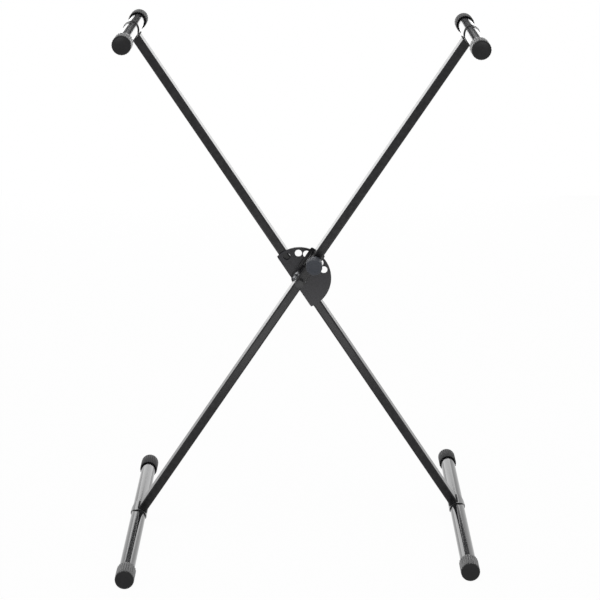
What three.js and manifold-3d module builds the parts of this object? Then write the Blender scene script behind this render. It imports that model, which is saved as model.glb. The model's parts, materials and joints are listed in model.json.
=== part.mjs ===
// Folding keyboard stand: two crossed legs on one pivot bolt, each leg welded to a round foot
// tube and a round arm tube, with a spring lock pin that drops into a row of holes in a D plate.
// Millimetres, +Z up, front towards -Y. The origin lies on the floor, midway between the feet.
//
// The rear leg runs from the right foot to the left arm and carries the plate and the bolt.
// The front leg runs from the left foot to the right arm and carries the lock pin.
import * as THREE from 'three';
import { mergeVertices } from 'three/addons/utils/BufferGeometryUtils.js';
import Module from 'manifold-3d';

// ---------------------------------------------------------------- driving dimensions

// Clearances
const SEAT_GAP = 0.3;            // between two pieces that seat on each other
const PIN_STANDOFF = 0.5;        // between the drawn lock pin and the plate

// Legs, in rectangular steel tube
const LEG_LENGTH = 1000;         // between the two tube axes of one leg
const LEG_FACE = 15;             // narrow side, towards the front
const LEG_DEPTH = 30;            // wide side, front to back
const LEG_WALL = 1.5;
const LEG_CORNER = 2.5;          // outer corner radius
const REST_OPENING = 67.3;       // degrees between the legs, as drawn

// Foot and arm tubes, in round steel tube
const TUBE_OD = 25;
const TUBE_WALL = 1.5;
const FOOT_SPAN = 550;           // cap face to cap face
const ARM_SPAN = 348;            // cap face to cap face
const TUBE_AHEAD = 20;           // tube centres lie this far in front of their leg

// Collars that join each tube to its leg: a wide saddle under the leg, a strap round the far side
const COLLAR_WALL = 1.5;
const COLLAR_LENGTH = 44;        // of the saddle
const STRAP_LENGTH = 6;
const STRAP_SLOPE_START = 9;     // above the tube's axis, towards the leg, the saddle narrows
const STRAP_SLOPE_END = 5;       // below the tube's axis, away from the leg, the strap begins

// Fluted rubber end caps
const CAP_OD = 31;               // across two opposite crests
const CAP_LENGTH = 40;
const CAP_END = 4;               // thickness of the closed end
const CAP_BAND = 2.5;            // plain band round the closed end
const CAP_BAND_INSET = 0.4;      // the band is this much smaller than the crests
const CAP_EDGE = 1.2;            // rounded edge of the closed end
const FLUTE_COUNT = 24;
const FLUTE_DEPTH = 0.9;
const FLUTE_LAND = 0.62;         // share of the pitch that is crest

// Lock plate
const PLATE_RADIUS = 53.5;
const PLATE_THICKNESS = 3;
const PLATE_CHORD = 11.3;        // from the pivot to the straight edge
const PLATE_CORNER = 4;
const HOLE_DIAMETER = 12;
const HOLE_RIM = 4;              // steel left between a hole and the round edge
const HOLE_STEP = 18.25;         // degrees between two heights
const STEPS_NARROWER = 2;        // heights above the drawn one
const STEPS_WIDER = 2;           // heights below the drawn one
const FOLDED_CAP_GAP = 1.6;      // between the caps when the stand is folded flat

// Pivot
const BOLT_DIAMETER = 8;
const BOLT_HEAD_AF = 13;         // across flats
const BOLT_HEAD_HEIGHT = 5.5;
const BOLT_RUNOUT = 3;           // thread that stands out of the nut
const NUT_AF = 13;
const NUT_HEIGHT = 8;
const NUT_HEX_HEIGHT = 5.8;      // the rest of the nut is the round insert collar
const NUT_INSERT_INSET = 0.5;    // the collar is this much smaller than the flats
const HEX_CHAMFER = 1;
const HEX_CHAMFER_START = 0.2;   // the corner chamfer begins this far outside the flats
const TIP_CHAMFER = 0.8;         // on the bolt's tip and the nut's collar
const WASHER_OD = 16;
const WASHER_THICKNESS = 1.6;
const NYLON_WASHER_OD = 28;
const ZINC_WASHER_OD = 24;
const SPACER_THICKNESS = 1.5;    // of each of the two washers between plate and front leg
const PIVOT_BUSH_OD = 11;

// Lock bracket behind the front leg
const BRACKET_THICKNESS = 1.8;
const BRACKET_WIDTH = 28;
const BRACKET_WASHER_GAP = 1.5;  // from the washer round the pivot to its lower edge
const BRACKET_ABOVE_PIN = 13.5;  // from the lock pin's axis to its upper edge
const BRACKET_CORNER = 3;
const EAR_REACH = 9;             // how far its ears come forward along the leg
const EAR_LENGTH = 32;
const EAR_SLOPE = 5;             // each end of an ear leans in by this much

// Lock pin, guide bush and spring
const NOSE_CLEARANCE = 0.5;      // between the pin's nose and the plate's holes, on the radius
const NOSE_CHAMFER = 1;
const STEM_DIAMETER = 7;
const PULL_BEYOND_REST = 2.5;    // travel left from the drawn place until the spring is solid
const GUIDE_FLANGE_OD = 14;
const GUIDE_FLANGE_THICKNESS = 2;
const GUIDE_NECK_OD = 10;
const GUIDE_DEPTH = 8;           // neck inside the leg
const SPRING_WIRE = 1;
const SPRING_MEAN_DIAMETER = 9.4;
const SPRING_TURNS = 6;
const SPRING_STEPS = 8;          // per turn
const SPRING_SIDES = 5;

// Pull knob
const KNOB_OD = 27;
const KNOB_LENGTH = 32;
const KNOB_NECK_OD = 19;
const KNOB_NECK_LENGTH = 4;
const KNOB_EDGE = 3;
const KNOB_DISH_RADIUS = 9;
const KNOB_DISH_DEPTH = 1.2;
const KNOB_GROOVE_COUNT = 16;
const KNOB_GROOVE_DEPTH = 0.7;
const KNOB_GROOVE_LAND = 0.6;
const KNOB_SOCKET_DEPTH = 18;

// Facets
const ROUND_SIDES = 32;          // tubes, collars, knob
const MEDIUM_SIDES = 24;         // pins, holes in the plate, hexagon chamfers
const SMALL_SIDES = 20;          // bolt, washers, bushes
const ARC_SEGMENTS = 12;
const CORNER_SEGMENTS = 2;
const CAP_EDGE_STEPS = 3;

// Making
const OVERRUN = 1;               // a cutting tool runs this far past a face
const SAME_POINT = 1e-4;         // points closer than this are one point

// ---------------------------------------------------------------- places worked out from them

const COLLAR_BORE = TUBE_OD / 2 + SEAT_GAP;
const COLLAR_RADIUS = COLLAR_BORE + COLLAR_WALL;
const PIVOT_GAP = 3 * SEAT_GAP + 2 * SPACER_THICKNESS;   // plate front to front leg back
const LEG_SPACING = LEG_DEPTH + SEAT_GAP + PLATE_THICKNESS + PIVOT_GAP;
const HALF_OPENING = THREE.MathUtils.degToRad(REST_OPENING / 2);
const PIVOT_HEIGHT = CAP_OD / 2 + (LEG_LENGTH / 2) * Math.cos(HALF_OPENING);
const FOLDED_OPENING = THREE.MathUtils.radToDeg(2 * Math.asin((CAP_OD + FOLDED_CAP_GAP) / LEG_LENGTH));

const REAR_TUBE_Y = LEG_SPACING / 2;
const FRONT_TUBE_Y = -LEG_SPACING / 2;
const REAR_LEG_Y = REAR_TUBE_Y + TUBE_AHEAD;
const FRONT_LEG_Y = FRONT_TUBE_Y + TUBE_AHEAD;
const REAR_LEG_FRONT = REAR_LEG_Y - LEG_DEPTH / 2;
const REAR_LEG_BACK = REAR_LEG_Y + LEG_DEPTH / 2;
const FRONT_LEG_FRONT = FRONT_LEG_Y - LEG_DEPTH / 2;
const FRONT_LEG_BACK = FRONT_LEG_Y + LEG_DEPTH / 2;
const PLATE_BACK = REAR_LEG_FRONT - SEAT_GAP;
const PLATE_FRONT = PLATE_BACK - PLATE_THICKNESS;
const HOLE_CIRCLE = PLATE_RADIUS - HOLE_RIM - HOLE_DIAMETER / 2;   // from the pivot to the lock pin

// ---------------------------------------------------------------- finishes

function finish(color, roughness, metalness) {
  return new THREE.MeshStandardMaterial({ color, roughness, metalness });
}
const POWDER_COAT = finish(0x2b2b2d, 0.5, 0.2);
const GLOSS_COAT = finish(0x303033, 0.3, 0.3);
const RUBBER = finish(0x2a2a2c, 0.8, 0);
const ZINC = finish(0xb9bcc0, 0.35, 0.9);
const NYLON = finish(0x1c1c1e, 0.6, 0);
const KNOB_PLASTIC = finish(0x3c424c, 0.45, 0);
const SPRING_STEEL = finish(0x8d9196, 0.3, 0.9);
const BLACK_STEEL = finish(0x2e2e31, 0.4, 0.4);

// ---------------------------------------------------------------- joining and cutting

const wasm = await Module();
wasm.setup();

// A closed geometry as a solid that can be joined and cut.
function toSolid(geometry) {
  const bare = geometry.clone();
  bare.deleteAttribute('normal');
  bare.deleteAttribute('uv');
  const merged = mergeVertices(bare, SAME_POINT);
  const index = merged.index.array;
  const triangles = [];
  for (let i = 0; i < index.length; i += 3) {
    const [a, b, c] = [index[i], index[i + 1], index[i + 2]];
    if (a !== b && b !== c && c !== a) triangles.push(a, b, c);
  }
  return new wasm.Manifold(new wasm.Mesh({
    numProp: 3,
    vertProperties: new Float32Array(merged.attributes.position.array),
    triVerts: new Uint32Array(triangles),
  }));
}

function toGeometry(solid) {
  const mesh = solid.getMesh();
  const geometry = new THREE.BufferGeometry();
  geometry.setAttribute('position', new THREE.BufferAttribute(mesh.vertProperties, 3));
  geometry.setIndex(new THREE.BufferAttribute(mesh.triVerts, 1));
  geometry.computeVertexNormals();
  return geometry;
}

function cut(base, ...tools) {
  return toGeometry(tools.reduce((left, tool) => left.subtract(toSolid(tool)), toSolid(base)));
}

function join(base, ...others) {
  return toGeometry(others.reduce((whole, other) => whole.add(toSolid(other)), toSolid(base)));
}

function common(base, envelope) {
  return toGeometry(toSolid(base).intersect(toSolid(envelope)));
}

// ---------------------------------------------------------------- basic forms

// A round bar along Y between two Y values, at a place across X and Z.
function bar(radius, yFrom, yTo, x = 0, z = 0, sides = ROUND_SIDES) {
  const length = yTo - yFrom;
  return new THREE.CylinderGeometry(radius, radius, length, sides)
    .translate(x, yFrom + length / 2, z);
}

// A form turned about Y from [radius, y] points, with y rising along the outside.
function turned(points, sides = ROUND_SIDES) {
  return new THREE.LatheGeometry(points.map(([r, y]) => new THREE.Vector2(r, y)), sides);
}

// A ring about Y: a washer, bush or sleeve.
function ring(innerRadius, outerRadius, yFrom, yTo, sides = ROUND_SIDES) {
  return turned([
    [innerRadius, yFrom],
    [outerRadius, yFrom],
    [outerRadius, yTo],
    [innerRadius, yTo],
    [innerRadius, yFrom],
  ], sides);
}

// A flat piece in the XZ plane, from its back face forwards.
function slab(outline, thickness, yBack) {
  const geometry = new THREE.ExtrudeGeometry(outline, {
    depth: thickness,
    bevelEnabled: false,
    curveSegments: ARC_SEGMENTS,
  });
  return geometry.rotateX(Math.PI / 2).translate(0, yBack, 0);
}

function roundedRectangle(width, height, radius) {
  const x = width / 2;
  const y = height / 2;
  const outline = new THREE.Shape();
  outline.moveTo(-x + radius, -y);
  outline.absarc(x - radius, -y + radius, radius, -Math.PI / 2, 0, false);
  outline.absarc(x - radius, y - radius, radius, 0, Math.PI / 2, false);
  outline.absarc(-x + radius, y - radius, radius, Math.PI / 2, Math.PI, false);
  outline.absarc(-x + radius, -y + radius, radius, Math.PI, 1.5 * Math.PI, false);
  return outline;
}

// A round outline with V grooves between flat crests; one crest points along +X.
function grooved(crestRadius, grooveDepth, count, land) {
  const pitch = (2 * Math.PI) / count;
  const cornerRadius = crestRadius / Math.cos((pitch * land) / 2);
  const grooveRadius = crestRadius - grooveDepth;
  const points = [];
  for (let i = 0; i < count; i += 1) {
    const crest = i * pitch;
    const groove = crest + pitch / 2;
    const offsets = [
      [cornerRadius, crest - (pitch * land) / 2],
      [cornerRadius, crest + (pitch * land) / 2],
      [grooveRadius, groove],
    ];
    for (const [r, angle] of offsets) {
      points.push(new THREE.Vector2(r * Math.cos(angle), r * Math.sin(angle)));
    }
  }
  return new THREE.Shape(points);
}

function hexagon(acrossFlats) {
  const radius = acrossFlats / Math.sqrt(3);
  const corners = [...Array(6).keys()].map((i) => new THREE.Vector2(
    radius * Math.cos((i * Math.PI) / 3),
    radius * Math.sin((i * Math.PI) / 3),
  ));
  return new THREE.Shape(corners);
}

// Puts a named piece into a frame.
function add(frame, name, geometry, material) {
  const mesh = new THREE.Mesh(geometry, material);
  mesh.name = name;
  frame.add(mesh);
  return mesh;
}

// A frame turns about the pivot; inside it, +Z runs up the leg.
function legFrame(lean) {
  const frame = new THREE.Group();
  frame.position.z = PIVOT_HEIGHT;
  frame.rotation.y = lean;
  return frame;
}

// ---------------------------------------------------------------- legs

// Rectangular tube, saddle-cut at both ends to sit on the collars.
function legTube(legY) {
  const section = roundedRectangle(LEG_FACE, LEG_DEPTH, LEG_CORNER);
  const inside = roundedRectangle(
    LEG_FACE - 2 * LEG_WALL,
    LEG_DEPTH - 2 * LEG_WALL,
    LEG_CORNER - LEG_WALL,
  );
  section.holes.push(new THREE.Path(inside.getPoints(CORNER_SEGMENTS)));
  const tube = new THREE.ExtrudeGeometry(section, {
    depth: LEG_LENGTH,
    bevelEnabled: false,
    curveSegments: CORNER_SEGMENTS,
  }).translate(0, legY, -LEG_LENGTH / 2);
  const saddles = [-1, 1].map((end) => bar(
    COLLAR_RADIUS + SEAT_GAP,
    legY - LEG_DEPTH,
    legY + LEG_DEPTH,
    0,
    (end * LEG_LENGTH) / 2,
  ));
  const pivotHole = bar(
    PIVOT_BUSH_OD / 2 + SEAT_GAP,
    legY - LEG_DEPTH,
    legY + LEG_DEPTH,
    0,
    0,
    SMALL_SIDES,
  );
  return cut(tube, ...saddles, pivotHole);
}

// Steel bush that keeps the bolt from crushing the leg.
function pivotBush(legY) {
  return ring(
    BOLT_DIAMETER / 2 + SEAT_GAP,
    PIVOT_BUSH_OD / 2,
    legY - LEG_DEPTH / 2,
    legY + LEG_DEPTH / 2,
    SMALL_SIDES,
  );
}

// ---------------------------------------------------------------- foot and arm tubes

// Sleeve for the upper end of a leg: wide on the leg's side, narrow round the far side.
function collar(legY) {
  const sleeve = ring(
    COLLAR_BORE,
    COLLAR_RADIUS,
    legY - COLLAR_LENGTH / 2,
    legY + COLLAR_LENGTH / 2,
  );
  const reach = COLLAR_RADIUS + OVERRUN;
  const corners = [
    [COLLAR_LENGTH / 2 + OVERRUN, -reach],
    [COLLAR_LENGTH / 2 + OVERRUN, -STRAP_SLOPE_START],
    [COLLAR_LENGTH / 2, -STRAP_SLOPE_START],
    [STRAP_LENGTH / 2, STRAP_SLOPE_END],
    [STRAP_LENGTH / 2, reach],
  ];
  const mirrored = corners.map(([y, z]) => [-y, z]).reverse();
  const side = new THREE.Shape([...corners, ...mirrored].map(([y, z]) => new THREE.Vector2(y, z)));
  const envelope = new THREE.ExtrudeGeometry(side, { depth: 2 * reach, bevelEnabled: false });
  const upright = new THREE.Matrix4().set(
    0, 0, 1, -reach,
    1, 0, 0, legY,
    0, 1, 0, 0,
    0, 0, 0, 1,
  );
  return common(sleeve, envelope.applyMatrix4(upright));
}

function crossTube(span, tubeY) {
  const half = span / 2 - CAP_END - SEAT_GAP;
  return ring(TUBE_OD / 2 - TUBE_WALL, TUBE_OD / 2, tubeY - half, tubeY + half);
}

// Rubber cap with its closed face at y = 0 and its open rim towards +Y.
function endCap() {
  const radius = CAP_OD / 2;
  const bandRadius = radius - CAP_BAND_INSET;
  const skirt = slab(
    grooved(radius, FLUTE_DEPTH, FLUTE_COUNT, FLUTE_LAND),
    CAP_LENGTH - CAP_BAND,
    CAP_LENGTH,
  );
  const edge = [...Array(CAP_EDGE_STEPS + 1).keys()].map((step) => {
    const angle = ((step / CAP_EDGE_STEPS) * Math.PI) / 2;
    return [
      bandRadius - CAP_EDGE * (1 - Math.sin(angle)),
      CAP_EDGE * (1 - Math.cos(angle)),
    ];
  });
  const band = turned([[0, 0], ...edge, [bandRadius, CAP_END], [0, CAP_END]], FLUTE_COUNT);
  const bore = TUBE_OD / 2 + SEAT_GAP;
  const socket = bar(bore, CAP_END, CAP_LENGTH + OVERRUN, 0, 0, FLUTE_COUNT);
  return cut(join(skirt, band), socket);
}

const CAP = endCap();

// The tube, its collar and its two caps, at one end of a leg.
function tubeSet(frame, side, kind, span, tubeY, legY) {
  const end = kind === 'foot' ? -1 : 1;
  const z = (end * LEG_LENGTH) / 2;
  add(frame, `${side}_${kind}_tube`, crossTube(span, tubeY), GLOSS_COAT).position.z = z;
  const sleeve = add(frame, `${side}_${kind}_collar`, collar(end * legY), GLOSS_COAT);
  sleeve.position.z = z;
  sleeve.rotation.x = end < 0 ? Math.PI : 0;
  const upright = -frame.rotation.y;
  const front = add(frame, `${side}_${kind}_front_cap`, CAP, RUBBER);
  front.position.set(0, tubeY - span / 2, z);
  front.rotation.y = upright;
  const back = add(frame, `${side}_${kind}_back_cap`, CAP.clone().rotateZ(Math.PI), RUBBER);
  back.position.set(0, tubeY + span / 2, z);
  back.rotation.y = upright;
}

// ---------------------------------------------------------------- lock plate

// Leg openings that have a hole, in degrees: folded flat, then the heights from top to bottom.
function holeOpenings() {
  const openings = [FOLDED_OPENING];
  for (let step = -STEPS_NARROWER; step <= STEPS_WIDER; step += 1) {
    openings.push(REST_OPENING + step * HOLE_STEP);
  }
  return openings;
}

// D-shaped steel plate, welded to the front of the rear leg, round about the pivot.
function lockPlate() {
  const cornerAngle = Math.acos(-PLATE_CHORD / PLATE_RADIUS);
  const cornerHeight = PLATE_RADIUS * Math.sin(cornerAngle);
  const arcEnd = cornerAngle - PLATE_CORNER / PLATE_RADIUS;
  const arcPoint = [PLATE_RADIUS * Math.cos(arcEnd), PLATE_RADIUS * Math.sin(arcEnd)];
  const outline = new THREE.Shape();
  outline.moveTo(-PLATE_CHORD, -cornerHeight + PLATE_CORNER);
  outline.lineTo(-PLATE_CHORD, cornerHeight - PLATE_CORNER);
  outline.quadraticCurveTo(-PLATE_CHORD, cornerHeight, ...arcPoint);
  outline.absarc(0, 0, PLATE_RADIUS, arcEnd, -arcEnd, true);
  outline.quadraticCurveTo(
    -PLATE_CHORD,
    -cornerHeight,
    -PLATE_CHORD,
    -cornerHeight + PLATE_CORNER,
  );
  const plate = slab(outline, PLATE_THICKNESS, PLATE_BACK);
  const holes = holeOpenings().map((opening) => {
    const angle = THREE.MathUtils.degToRad(opening);
    return bar(
      HOLE_DIAMETER / 2,
      PLATE_FRONT - OVERRUN,
      PLATE_BACK + OVERRUN,
      HOLE_CIRCLE * Math.sin(angle),
      HOLE_CIRCLE * Math.cos(angle),
      MEDIUM_SIDES,
    );
  });
  const pivotHole = bar(
    BOLT_DIAMETER / 2 + SEAT_GAP,
    PLATE_FRONT - OVERRUN,
    PLATE_BACK + OVERRUN,
    0,
    0,
    SMALL_SIDES,
  );
  return cut(plate, ...holes, pivotHole);
}

// ---------------------------------------------------------------- pivot

const FRONT_WASHER_BACK = FRONT_LEG_FRONT - SEAT_GAP;
const HEAD_BACK = FRONT_WASHER_BACK - WASHER_THICKNESS - SEAT_GAP;
const REAR_WASHER_FRONT = REAR_LEG_BACK + SEAT_GAP;
const NUT_FRONT = REAR_WASHER_FRONT + WASHER_THICKNESS + SEAT_GAP;
const BOLT_TIP = NUT_FRONT + NUT_HEIGHT + BOLT_RUNOUT;

function washer(outerDiameter, thickness, yFrom) {
  return ring(
    BOLT_DIAMETER / 2 + SEAT_GAP,
    outerDiameter / 2,
    yFrom,
    yFrom + thickness,
    SMALL_SIDES,
  );
}

// A hexagonal block between two Y values, its corners chamfered at the front.
function hexBlock(acrossFlats, yFrom, yTo) {
  const corner = acrossFlats / Math.sqrt(3);
  const envelope = turned([
    [0, yFrom],
    [acrossFlats / 2 + HEX_CHAMFER_START, yFrom],
    [corner + HEX_CHAMFER_START, yFrom + HEX_CHAMFER],
    [corner + HEX_CHAMFER_START, yTo + OVERRUN],
    [0, yTo + OVERRUN],
  ], MEDIUM_SIDES);
  return common(slab(hexagon(acrossFlats), yTo - yFrom, yTo), envelope);
}

// A round bar about Y with its back end chamfered.
function chamferedBar(radius, yFrom, yTo, sides) {
  return turned([
    [0, yFrom],
    [radius, yFrom],
    [radius, yTo - TIP_CHAMFER],
    [radius - TIP_CHAMFER, yTo],
    [0, yTo],
  ], sides);
}

// Hexagon bolt, head in front of the front leg.
function pivotBolt() {
  const head = hexBlock(BOLT_HEAD_AF, HEAD_BACK - BOLT_HEAD_HEIGHT, HEAD_BACK);
  const shank = chamferedBar(BOLT_DIAMETER / 2, HEAD_BACK - OVERRUN, BOLT_TIP, SMALL_SIDES);
  return join(head, shank);
}

// Lock nut with a round nylon-insert collar at its outer end.
function lockNut() {
  const nutBack = NUT_FRONT + NUT_HEIGHT;
  const body = hexBlock(NUT_AF, NUT_FRONT, NUT_FRONT + NUT_HEX_HEIGHT);
  const insert = chamferedBar(
    NUT_AF / 2 - NUT_INSERT_INSET,
    NUT_FRONT + NUT_HEX_HEIGHT - OVERRUN,
    nutBack,
    MEDIUM_SIDES,
  );
  const thread = bar(
    BOLT_DIAMETER / 2 + SEAT_GAP,
    NUT_FRONT - OVERRUN,
    nutBack + OVERRUN,
    0,
    0,
    SMALL_SIDES,
  );
  return cut(join(body, insert), thread);
}

// ---------------------------------------------------------------- lock bracket

const NOSE_RADIUS = HOLE_DIAMETER / 2 - NOSE_CLEARANCE;
const NOSE_BORE = NOSE_RADIUS + SEAT_GAP;

// Folded sheet saddle behind the front leg; it stiffens the wall that the lock pin comes through.
function lockBracket() {
  const bottom = Math.max(NYLON_WASHER_OD, ZINC_WASHER_OD) / 2 + BRACKET_WASHER_GAP;
  const top = HOLE_CIRCLE + BRACKET_ABOVE_PIN;
  const height = top - bottom;
  const middle = (top + bottom) / 2;
  const back = FRONT_LEG_BACK + SEAT_GAP + BRACKET_THICKNESS;
  const base = slab(
    roundedRectangle(BRACKET_WIDTH, height, BRACKET_CORNER),
    BRACKET_THICKNESS,
    back,
  ).translate(0, 0, middle);
  const earFront = FRONT_LEG_BACK - EAR_REACH;
  const side = new THREE.Shape([
    new THREE.Vector2(back, -EAR_LENGTH / 2),
    new THREE.Vector2(back, EAR_LENGTH / 2),
    new THREE.Vector2(earFront, EAR_LENGTH / 2 - EAR_SLOPE),
    new THREE.Vector2(earFront, -EAR_LENGTH / 2 + EAR_SLOPE),
  ]);
  const ears = [-1, 1].map((hand) => {
    const inner = LEG_FACE / 2 + SEAT_GAP;
    const x = hand > 0 ? inner : -inner - BRACKET_THICKNESS;
    const ear = new THREE.ExtrudeGeometry(side, { depth: BRACKET_THICKNESS, bevelEnabled: false });
    const upright = new THREE.Matrix4().set(
      0, 0, 1, x,
      1, 0, 0, 0,
      0, 1, 0, middle,
      0, 0, 0, 1,
    );
    return ear.applyMatrix4(upright);
  });
  const pinHole = bar(NOSE_BORE, FRONT_LEG_BACK, back + OVERRUN, 0, HOLE_CIRCLE, SMALL_SIDES);
  return cut(join(base, ...ears), pinHole);
}

// ---------------------------------------------------------------- lock pin, guide, spring, knob

const PIN_TIP = PLATE_FRONT - PIN_STANDOFF;
const GUIDE_FLANGE_BACK = FRONT_LEG_FRONT - SEAT_GAP;
const GUIDE_FLANGE_FRONT = GUIDE_FLANGE_BACK - GUIDE_FLANGE_THICKNESS;
const GUIDE_END = FRONT_LEG_FRONT + GUIDE_DEPTH;
const SPRING_SOLID = (SPRING_TURNS + 1) * SPRING_WIRE + 2 * SEAT_GAP;
const NOSE_SHOULDER = GUIDE_END + SPRING_SOLID + PULL_BEYOND_REST;
const PUSH_HOME = PIN_STANDOFF + PLATE_THICKNESS;   // travel from rest until the tip is through
const KNOB_BACK = GUIDE_FLANGE_FRONT - SEAT_GAP - PUSH_HOME;
const STEM_RADIUS = STEM_DIAMETER / 2;

// Flanged bush in the front wall of the leg, for the pin's stem.
function guideBush() {
  return turned([
    [STEM_RADIUS + SEAT_GAP, GUIDE_FLANGE_FRONT],
    [GUIDE_FLANGE_OD / 2, GUIDE_FLANGE_FRONT],
    [GUIDE_FLANGE_OD / 2, GUIDE_FLANGE_BACK],
    [GUIDE_NECK_OD / 2, GUIDE_FLANGE_BACK],
    [GUIDE_NECK_OD / 2, GUIDE_END],
    [STEM_RADIUS + SEAT_GAP, GUIDE_END],
    [STEM_RADIUS + SEAT_GAP, GUIDE_FLANGE_FRONT],
  ], MEDIUM_SIDES).translate(0, 0, HOLE_CIRCLE);
}

// Stem and thicker nose; the spring pushes on the shoulder between them.
function lockPin() {
  const stemFront = KNOB_BACK - KNOB_SOCKET_DEPTH + SEAT_GAP;
  return turned([
    [0, stemFront],
    [STEM_RADIUS, stemFront],
    [STEM_RADIUS, NOSE_SHOULDER],
    [NOSE_RADIUS, NOSE_SHOULDER],
    [NOSE_RADIUS, PIN_TIP - NOSE_CHAMFER],
    [NOSE_RADIUS - NOSE_CHAMFER, PIN_TIP],
    [0, PIN_TIP],
  ], MEDIUM_SIDES).translate(0, 0, HOLE_CIRCLE);
}

class Helix extends THREE.Curve {
  constructor(radius, yFrom, yTo, turns) {
    super();
    Object.assign(this, { radius, yFrom, yTo, turns });
  }

  getPoint(t, target = new THREE.Vector3()) {
    const angle = 2 * Math.PI * this.turns * t;
    return target.set(
      this.radius * Math.cos(angle),
      this.yFrom + (this.yTo - this.yFrom) * t,
      this.radius * Math.sin(angle),
    );
  }
}

// Compression spring on the stem, between the guide bush and the pin's shoulder.
function lockSpring() {
  const inset = SEAT_GAP + SPRING_WIRE / 2;
  const path = new Helix(
    SPRING_MEAN_DIAMETER / 2,
    GUIDE_END + inset,
    NOSE_SHOULDER - inset,
    SPRING_TURNS,
  );
  const wire = new THREE.Shape([...Array(SPRING_SIDES).keys()].map((i) => new THREE.Vector2(
    (SPRING_WIRE / 2) * Math.cos((2 * Math.PI * i) / SPRING_SIDES),
    (SPRING_WIRE / 2) * Math.sin((2 * Math.PI * i) / SPRING_SIDES),
  )));
  return new THREE.ExtrudeGeometry(wire, {
    steps: SPRING_TURNS * SPRING_STEPS,
    extrudePath: path,
    bevelEnabled: false,
  }).translate(0, 0, HOLE_CIRCLE);
}

// Grooved plastic knob with a necked back and a dished face.
function lockKnob() {
  const radius = KNOB_OD / 2;
  const front = KNOB_BACK - KNOB_LENGTH;
  const edge = KNOB_EDGE * (1 - Math.SQRT1_2);
  const body = slab(
    grooved(radius, KNOB_GROOVE_DEPTH, KNOB_GROOVE_COUNT, KNOB_GROOVE_LAND),
    KNOB_LENGTH,
    KNOB_BACK,
  );
  const envelope = turned([
    [0, front + KNOB_DISH_DEPTH],
    [KNOB_DISH_RADIUS - KNOB_DISH_DEPTH, front + KNOB_DISH_DEPTH],
    [KNOB_DISH_RADIUS, front],
    [radius - KNOB_EDGE, front],
    [radius - edge, front + edge],
    [radius, front + KNOB_EDGE],
    [radius, KNOB_BACK - KNOB_NECK_LENGTH - KNOB_EDGE],
    [KNOB_NECK_OD / 2, KNOB_BACK - KNOB_NECK_LENGTH],
    [KNOB_NECK_OD / 2, KNOB_BACK],
    [0, KNOB_BACK],
  ], ROUND_SIDES);
  const socket = bar(
    STEM_RADIUS + SEAT_GAP,
    KNOB_BACK - KNOB_SOCKET_DEPTH,
    KNOB_BACK + OVERRUN,
    0,
    0,
    SMALL_SIDES,
  );
  return cut(common(body, envelope), socket).translate(0, 0, HOLE_CIRCLE);
}

// ---------------------------------------------------------------- the stand

const stand = new THREE.Group();
const rearFrame = legFrame(-HALF_OPENING);
const frontFrame = legFrame(HALF_OPENING);
stand.add(rearFrame, frontFrame);

add(rearFrame, 'rear_leg', legTube(REAR_LEG_Y), POWDER_COAT);
add(rearFrame, 'rear_leg_bush', pivotBush(REAR_LEG_Y), ZINC);
tubeSet(rearFrame, 'right', 'foot', FOOT_SPAN, REAR_TUBE_Y, REAR_LEG_Y);
tubeSet(rearFrame, 'left', 'arm', ARM_SPAN, REAR_TUBE_Y, REAR_LEG_Y);
add(rearFrame, 'lock_plate', lockPlate(), POWDER_COAT);
add(rearFrame, 'pivot_bolt', pivotBolt(), BLACK_STEEL);
add(
  rearFrame,
  'head_washer',
  washer(WASHER_OD, WASHER_THICKNESS, FRONT_WASHER_BACK - WASHER_THICKNESS),
  BLACK_STEEL,
);
add(
  rearFrame,
  'nylon_washer',
  washer(NYLON_WASHER_OD, SPACER_THICKNESS, PLATE_FRONT - SEAT_GAP - SPACER_THICKNESS),
  NYLON,
);
add(
  rearFrame,
  'spacer_washer',
  washer(ZINC_WASHER_OD, SPACER_THICKNESS, FRONT_LEG_BACK + SEAT_GAP),
  ZINC,
);
add(rearFrame, 'nut_washer', washer(WASHER_OD, WASHER_THICKNESS, REAR_WASHER_FRONT), ZINC);
add(rearFrame, 'lock_nut', lockNut(), ZINC);

const pinHoles = [
  bar(
    GUIDE_NECK_OD / 2 + SEAT_GAP,
    FRONT_LEG_FRONT - OVERRUN,
    FRONT_LEG_Y,
    0,
    HOLE_CIRCLE,
    SMALL_SIDES,
  ),
  bar(NOSE_BORE, FRONT_LEG_Y, FRONT_LEG_BACK + OVERRUN, 0, HOLE_CIRCLE, SMALL_SIDES),
];
add(frontFrame, 'front_leg', cut(legTube(FRONT_LEG_Y), ...pinHoles), POWDER_COAT);
add(frontFrame, 'front_leg_bush', pivotBush(FRONT_LEG_Y), ZINC);
tubeSet(frontFrame, 'left', 'foot', FOOT_SPAN, FRONT_TUBE_Y, FRONT_LEG_Y);
tubeSet(frontFrame, 'right', 'arm', ARM_SPAN, FRONT_TUBE_Y, FRONT_LEG_Y);
add(frontFrame, 'lock_bracket', lockBracket(), POWDER_COAT);
add(frontFrame, 'guide_bush', guideBush(), ZINC);
add(frontFrame, 'lock_spring', lockSpring(), SPRING_STEEL);
add(frontFrame, 'lock_pin', lockPin(), ZINC);
add(frontFrame, 'lock_knob', lockKnob(), KNOB_PLASTIC);

export default stand;
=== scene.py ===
# Folding keyboard stand, in metres, +Z up, front towards -Y. The origin is on the floor,
# midway between the feet. Every size that the frame holds is read from it.
import json
import math

import bmesh
import bpy
from mathutils import Matrix, Vector


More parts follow.
